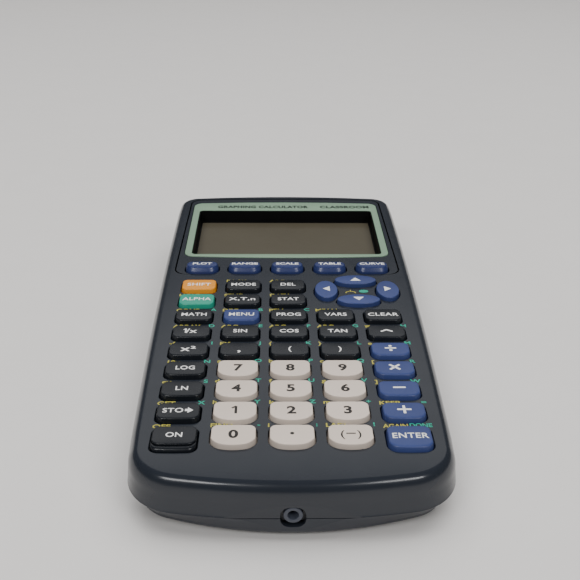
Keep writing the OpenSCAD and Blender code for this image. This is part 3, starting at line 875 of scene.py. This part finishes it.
def rear_wall(s, share, inset=0.0, up=0.0):
    """Ring between the parting line (0) and the lower edge (1)."""
    step = REAR_STEP + inset
    line = [from_face((x, y, -FRONT_DEPTH + up)) / MM for x, y in case_outline(step, step)]
    edge = [Vector((x, y + CENTRE_Y, REAR_EDGE_Z + up))
            for x, y in case_outline(*(v + inset for v in REAR_EDGE_IN), REAR_BOW_R)]
    return s.ring([tuple(a.lerp(b, share)) for a, b in zip(line, edge)])


def rear_belly(s, turn, inset=0.0, up=0.0):
    """Ring on the rounded way from the lower edge (turn 0) to the floor (turn 90)."""
    a = math.radians(turn)
    insets = [low + (high - low) * (1 - math.cos(a)) + inset for low, high in zip(REAR_EDGE_IN, FLOOR_IN)]
    z = REAR_EDGE_Z + (FLOOR_Z - REAR_EDGE_Z) * math.sin(a)
    outline = case_outline(*insets, REAR_BOW_R)
    return s.ring([(x, y + CENTRE_Y, z + up) for x, y in outline])


def rear_shell():
    s = Solid(from_table)
    outer = [rear_wall(s, share) for share in REAR_RINGS]
    outer += [rear_belly(s, turn) for turn in range(0, 91, 10)]
    skin = WALL - REAR_STEP
    edge_up, floor_up = INNER_UP
    inner = [rear_wall(s, share, skin, edge_up * share) for share in (0, 0.5)]
    inner += [rear_belly(s, turn, skin, edge_up + (floor_up - edge_up) * turn / 90) for turn in (0, 45, 90)]
    s.loft(outer)
    s.loft(inner)
    s.bridge(outer[0], inner[0])
    s.plate(outer[-1], [], table_xy)
    s.plate(inner[-1], [], table_xy)
    shell = s.finish("rear_shell", [REAR])
    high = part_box("battery_cover")[1]
    x = high.x / MM + COVER_GAP
    near = joint_named("cell_cover_hinge")["pos_m"][1] / MM - COVER_GAP
    far = high.y / MM + COVER_GAP
    bay = prism("bay_cutter", rounded(x, far, -near, BAY_CORNER, BAY_CORNER), *BAY_Z, from_table)
    cutters = [bay, recess_cutter(), port_cutter()]
    well = ellipse(SCREW_WELL_R, SCREW_WELL_R, 40)
    for k, at in enumerate(screw_places()):
        cutters.append(prism("screw_cutter_%d" % k, well, *WELL_Z, from_face, at))
    cut(shell, *cutters)
    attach(shell, "case")
    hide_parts("rear_case")


def screw_places():
    """Middles of the six case screws, read off the screw node."""
    points = [to_face(v.co) for v in frame["nodes"]["screws"].data.vertices]
    places = []
    for p in points:
        if not any(math.hypot(p.x - x, p.y - y) < SCREW_REACH for x, y in places):
            group = [q for q in points if math.hypot(p.x - q.x, p.y - q.y) < SCREW_REACH]
            xs, ys = [q.x for q in group], [q.y for q in group]
            places.append(((min(xs) + max(xs)) / 2, (min(ys) + max(ys)) / 2))
    return places


rear_shell()


# Feet: radius, middles, and the inset and height of each ring of a pad
FOOT_R = 5.0
FEET = [(x, y) for y in (-68, 74) for x in (-31, 31)]
FOOT_RINGS = ((0.1, 1.4), (0, 0.9), (0, 0.35), (0.1, 0.12), (0.35, 0.0), (1.2, 0.0))


def foot(name, x, y):
    s = Solid(from_table)
    rings = [s.ring(ellipse(FOOT_R - inset, FOOT_R - inset, 64), z, (x, y)) for inset, z in FOOT_RINGS]
    s.loft(rings)
    s.cap(rings[0])
    s.cap(rings[-1])
    pad = s.finish(name, [RUBBER])
    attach(pad, "case")


for number, (foot_x, foot_y) in enumerate(FEET, 1):
    foot("foot_%d" % number, foot_x, foot_y)


# ---------------------------------------------------------------- display
# Depth of the glass below the face, half the thickness of the mask round it and how far it passes the
# window, and the picture area: half its width, and how far it goes to the far and the near end
GLASS_Z = -4.2
MASK_T = 0.15
MASK_PAST = 0.05
VIEW = (31.9, 18.0, 17.3)
VIEW_CORNER = 0.3
# Height and growth of each ring: up the frame's rim, and down its opening to the glass
RIM_RINGS = ((-0.95, 0), (0.02, 0), (0.12, -0.04), (0.18, -0.12), (FRAME_PROUD, -0.25))
OPENING_RINGS = ((FRAME_PROUD, 0.55), (FRAME_PROUD - 0.03, 0.46), (0.06, 0.4), (-0.1, 0.02),
                 (GLASS_Z, -0.05))
# Skirt round the opening: how far it stands off, and its corners
SKIRT = 0.9
SKIRT_CORNER = 1.6


def display_frame():
    s = Solid()
    window = (WINDOW[0] / 2, WINDOW[1] / 2, WINDOW[1] / 2)
    outer = [s.ring(frame_outline(g), z, FRAME_AT) for z, g in RIM_RINGS]
    opening = []
    for z, g in OPENING_RINGS:
        shape = rounded(*(v + g for v in window), WINDOW_CORNER + g, WINDOW_CORNER + g)
        opening.append(s.ring(shape, z, WINDOW_AT))
    wide = rounded(*(v + SKIRT for v in window), SKIRT_CORNER, SKIRT_CORNER)
    skirt = [s.ring(wide, z, WINDOW_AT) for z in (GLASS_Z, RIM_RINGS[0][0])]
    s.loft(outer)
    s.plate(outer[-1], [opening[0]], face_xy)
    s.loft(opening[:3])
    s.loft(opening[2:], 1)
    s.bridge(opening[4], skirt[0], 1)
    s.loft(skirt, 1)
    s.plate(outer[0], [skirt[1]], face_xy)
    rim = s.finish("display_frame", [FRAME_GREEN, WINDOW_WALL])
    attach(rim, "case")
    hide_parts("display_window")


def display_pane():
    """Black mask round the picture area, and the glass inside it."""
    half_w, half_l = WINDOW[0] / 2 + MASK_PAST, WINDOW[1] / 2 + MASK_PAST
    around = rounded(half_w, half_l, half_l, WINDOW_CORNER, WINDOW_CORNER)
    picture = rounded(*VIEW, VIEW_CORNER, VIEW_CORNER)
    back, front = GLASS_Z - MASK_T, GLASS_Z + MASK_T
    s = Solid()
    mask = [s.ring(around, z, WINDOW_AT) for z in (back, front)]
    eye = [s.ring(picture, z, WINDOW_AT) for z in (front, back)]
    s.loft(mask, 1)
    s.plate(mask[1], [eye[0]], face_xy, 1)
    s.loft(eye, 1)
    s.plate(mask[0], [eye[1]], face_xy, 1)
    glass = [s.ring(picture, z, WINDOW_AT) for z in (back, GLASS_Z)]
    s.loft(glass)
    s.cap(glass[0])
    s.cap(glass[1])
    pane = s.finish("display_pane", [GLASS, WINDOW_WALL])
    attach(pane, "case")


display_frame()
display_pane()


# ---------------------------------------------------------------- prints on the face
# Small prints above each key: yellow at its left, then green at its right
PRINTS = {
    "second": ("", ""), "mode": ("BACK", ""), "del": ("ADD", ""), "alpha": ("HOLD", ""),
    "variable": ("SEND", ""), "stat": ("DATA", ""), "math": ("COMP", "A"), "apps": ("DEG", "B"),
    "prgm": ("PEN", "C"), "vars": ("MEAN", ""), "clear": ("", ""), "reciprocal": ("ARRAY", "D"),
    "sin": ("ARC", "E"), "cos": ("ARC", "F"), "tan": ("ARC", "G"), "power": ("π", "H"),
    "square": ("√", "I"), "comma": ("EX", "J"), "paren_open": ("{", "K"), "paren_close": ("}", "L"),
    "divide": ("e", "M"), "log": ("10x", "N"), "7": ("a", "O"), "8": ("b", "P"), "9": ("c", "Q"),
    "multiply": ("[", "R"), "ln": ("ex", "S"), "4": ("d", "T"), "5": ("f", "U"), "6": ("g", "V"),
    "minus": ("]", "W"), "store": ("GET", "X"), "1": ("h", "Y"), "2": ("k", "Z"), "3": ("m", "+"),
    "plus": ("KEEP", "="), "on": ("OFF", ""), "0": ("FIND", "-"), "point": ("i", ":"),
    "negative": ("LAST", "!"), "enter": ("AGAIN", "DONE"),
}
PRINT_H = 1.6
PRINT_W, TIGHT_PRINT_W = 1.15, 0.92
PRINT_BOLD = 0.05
# Gap above the key, how far the prints pass its left and right edge, how much higher the green ones sit
PRINT_GAP = 0.55
PRINT_PAST = (0.4, 0.9)
GREEN_UP = 0.25


def on_face(solid, mesh, at, material=0, surface=0.0):
    for v in mesh.vertices:
        v.co = from_face((v.co.x + at[0], v.co.y + at[1], ink_z(v, surface)))
    solid.add(mesh, material)


def face_prints():
    s = Solid()
    for word, (left, right) in PRINTS.items():
        low, high = leaned_box("key_" + word)
        y = high.y - FACE_ORIGIN.y - FLANGE_RIM + PRINT_GAP + PRINT_H / 2
        start, stop = low.x + FLANGE_RIM - PRINT_PAST[0], high.x - FLANGE_RIM + PRINT_PAST[1]
        width = TIGHT_PRINT_W if word == "enter" else PRINT_W
        for text, edge, way, material in ((left, start, 1, 0), (right, stop, -1, 1)):
            if not text:
                continue
            mesh = lettering(text, PRINT_H, PRINT_BOLD, width=width)
            half = max(abs(v.co.x) for v in mesh.vertices)
            on_face(s, mesh, (edge + way * half, y + GREEN_UP * material), material)
    prints = s.finish("face_prints", [YELLOW_INK, GREEN_INK])
    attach(prints, "case")


# Marks between the arrow keys: half sizes of the arch and the spot, and their places
ARCH, ARCH_AT = (1.5, 1.0), (-2.0, -0.5)
SPOT, SPOT_AT = (1.5, 0.95), (2.2, 0.6)


def contrast_marks():
    """A yellow arch and a green spot between the arrow keys."""
    pad = to_face(sum((corner for key in ("key_up", "key_down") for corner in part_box(key)), Vector()) / 4)
    s = Solid()
    arch = [bar(0.9, 0.34, ARCH[0] * math.cos(math.radians(t)), ARCH[1] * math.sin(math.radians(t)), t + 90)
            for t in range(15, 180, 25)]
    on_face(s, sign(*arch, bar(0.3, 0.9, 0, 1.5)), (pad.x + ARCH_AT[0], pad.y + ARCH_AT[1]))
    on_face(s, sign(ellipse(*SPOT, 24)), (pad.x + SPOT_AT[0], pad.y + SPOT_AT[1]), 1)
    marks = s.finish("contrast_marks", [YELLOW_INK, GREEN_INK])
    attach(marks, "case")


face_prints()
contrast_marks()

# Words on the frame with their middle and width, then their height, thickening, spacing and place
TITLE = (("GRAPHING CALCULATOR", -8.8, 0.85), ("CLASSROOM", 23.0, 0.95))
TITLE_H, TITLE_BOLD, TITLE_SPACING = 2.4, 0.16, 1.08
TITLE_UP = 20.9


def frame_title():
    s = Solid()
    for words, x, width in TITLE:
        mesh = lettering(words, TITLE_H, TITLE_BOLD, TITLE_SPACING, width)
        on_face(s, mesh, (FRAME_AT[0] + x, FRAME_AT[1] + TITLE_UP), surface=FRAME_PROUD)
    title = s.finish("frame_title", [TITLE_INK])
    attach(title, "case")


frame_title()


# ---------------------------------------------------------------- pieces kept from the CAD
def keep(name, material, soften=None, segments=2):
    """Gives a CAD node its material and slot; soften is the width of its rounded edges, in mm."""
    obj = frame["nodes"][name]
    obj.data.materials.clear()
    obj.data.materials.append(material)
    if soften:
        bevel = obj.modifiers.new("soft_edges", "BEVEL")
        bevel.width, bevel.segments, bevel.limit_method = soften * MM, segments, "ANGLE"


keep("battery_cover", REAR, 0.25, 3)
keep("lcd_module", SILICONE)
keep("rubber_keypad", SILICONE)
keep("circuit_board", BOARD)
keep("batteries", CELL, 0.3)
keep("battery_contacts", NICKEL)
keep("screws", BLACK_STEEL, 0.12)


# Jack: radius and depth of each turned ring, half size of its body, and the body's insets and depths
JACK_RINGS = ((2.24, 1.3), (2.24, 0.35), (2.18, 0.18), (2.04, 0.1), (1.5, 0.1), (1.34, 0.18), (1.25, 0.35),
              (1.25, 12.1))
JACK_BODY = (3.6, 2.45)
JACK_CORNER = 0.5
BODY_RINGS = ((0.12, 1.3), (0.0, 1.42), (0.0, 14.1))


def jack_xy(co):
    p = to_face(co)
    return p.x * MM, p.z * MM


def jack():
    """Turned ring of the link jack with its throat, in a dark body over the near end of the board."""
    def place(p):
        return from_face((p[0], RECESS_Y + p[2], p[1] + JACK_Z))
    s = Solid(place)
    half_w, half_h = JACK_BODY
    turned = [s.ring(ellipse(r, r, 64), depth) for r, depth in JACK_RINGS]
    body = [s.ring(rounded(half_w - inset, half_h - inset, half_h - inset, JACK_CORNER, JACK_CORNER), depth)
            for inset, depth in BODY_RINGS]
    s.loft(turned)
    s.cap(turned[-1])
    s.plate(body[0], [turned[0]], jack_xy, 1)
    s.loft(body, 1)
    s.cap(body[-1], 1)
    ring = s.finish("link_jack", [GREY_RING, CHIP], 35)
    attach(ring, "case")


jack()


# ---------------------------------------------------------------- floor, light and camera
# Floor, in metres: wide enough to fill the view behind the calculator
FLOOR_SIZE = 8.0
FLOOR_AT = (0, 3.6, 0)


def floor():
    bpy.ops.mesh.primitive_plane_add(size=FLOOR_SIZE, location=FLOOR_AT)
    plane = bpy.context.object
    plane.name = "floor"
    material = moulded("floor_paint", "#dedbd8", 0.6, grain=2.0, depth=0.01, drift=0.01)
    plane.data.materials.append(material)


def area_light(name, place, aim, size, power, glossy=True):
    """A rectangular light, in metres and watts. One that isn't glossy leaves no reflection."""
    data = bpy.data.lights.new(name, "AREA")
    data.shape, data.size, data.size_y = "RECTANGLE", size[0], size[1]
    data.energy = power
    lamp = bpy.data.objects.new(name, data)
    lamp.location = place
    lamp.rotation_euler = (Vector(aim) - Vector(place)).to_track_quat("-Z", "Y").to_euler()
    lamp.visible_glossy = glossy
    bpy.context.scene.collection.objects.link(lamp)


def lights():
    area_light("overhead", (0.05, 0.15, 1.6), (0, 0, 0), (2.2, 1.7), 35, glossy=False)
    area_light("far_softbox", (0, 1.6, 1.45), (0, 0, 0), (2.6, 0.9), 6)
    area_light("front_left", (-0.75, -1.25, 1.15), (0, -0.05, 0), (0.8, 0.3), 12)
    area_light("front_right", (0.85, -1.25, 1.15), (0, -0.05, 0), (0.7, 0.3), 10)
    world = bpy.data.worlds.new("studio")
    world.use_nodes = True
    world.node_tree.nodes["Background"].inputs["Color"].default_value = (0.78, 0.8, 0.84, 1)
    world.node_tree.nodes["Background"].inputs["Strength"].default_value = 0.11
    bpy.context.scene.world = world


# Camera: its place in the face frame and its lens, both in mm; then how far it turns to the right,
# tips down and rolls, in radians
CAMERA_AT = (-4.33, -248.06, 130.0)
LENS = 55.24
TURN, TIP, ROLL = 0.0195, 0.474, -0.0086


def camera():
    data = bpy.data.cameras.new("view")
    data.sensor_width = 36.0
    data.lens = LENS
    eye = bpy.data.objects.new("view", data)
    bpy.context.scene.collection.objects.link(eye)
    tip = TIP - TILT
    ahead = Vector((math.sin(TURN) * math.cos(tip), math.cos(TURN) * math.cos(tip), -math.sin(tip)))
    right = Vector((math.cos(TURN), -math.sin(TURN), 0))
    down = ahead.cross(right)
    x = right * math.cos(ROLL) + down * math.sin(ROLL)
    y = right * math.sin(ROLL) - down * math.cos(ROLL)
    turned = Matrix((x, y, -ahead)).transposed().to_4x4()
    eye.matrix_world = Matrix.Translation(from_face(CAMERA_AT)) @ turned
    bpy.context.scene.camera = eye


floor()
lights()
camera()
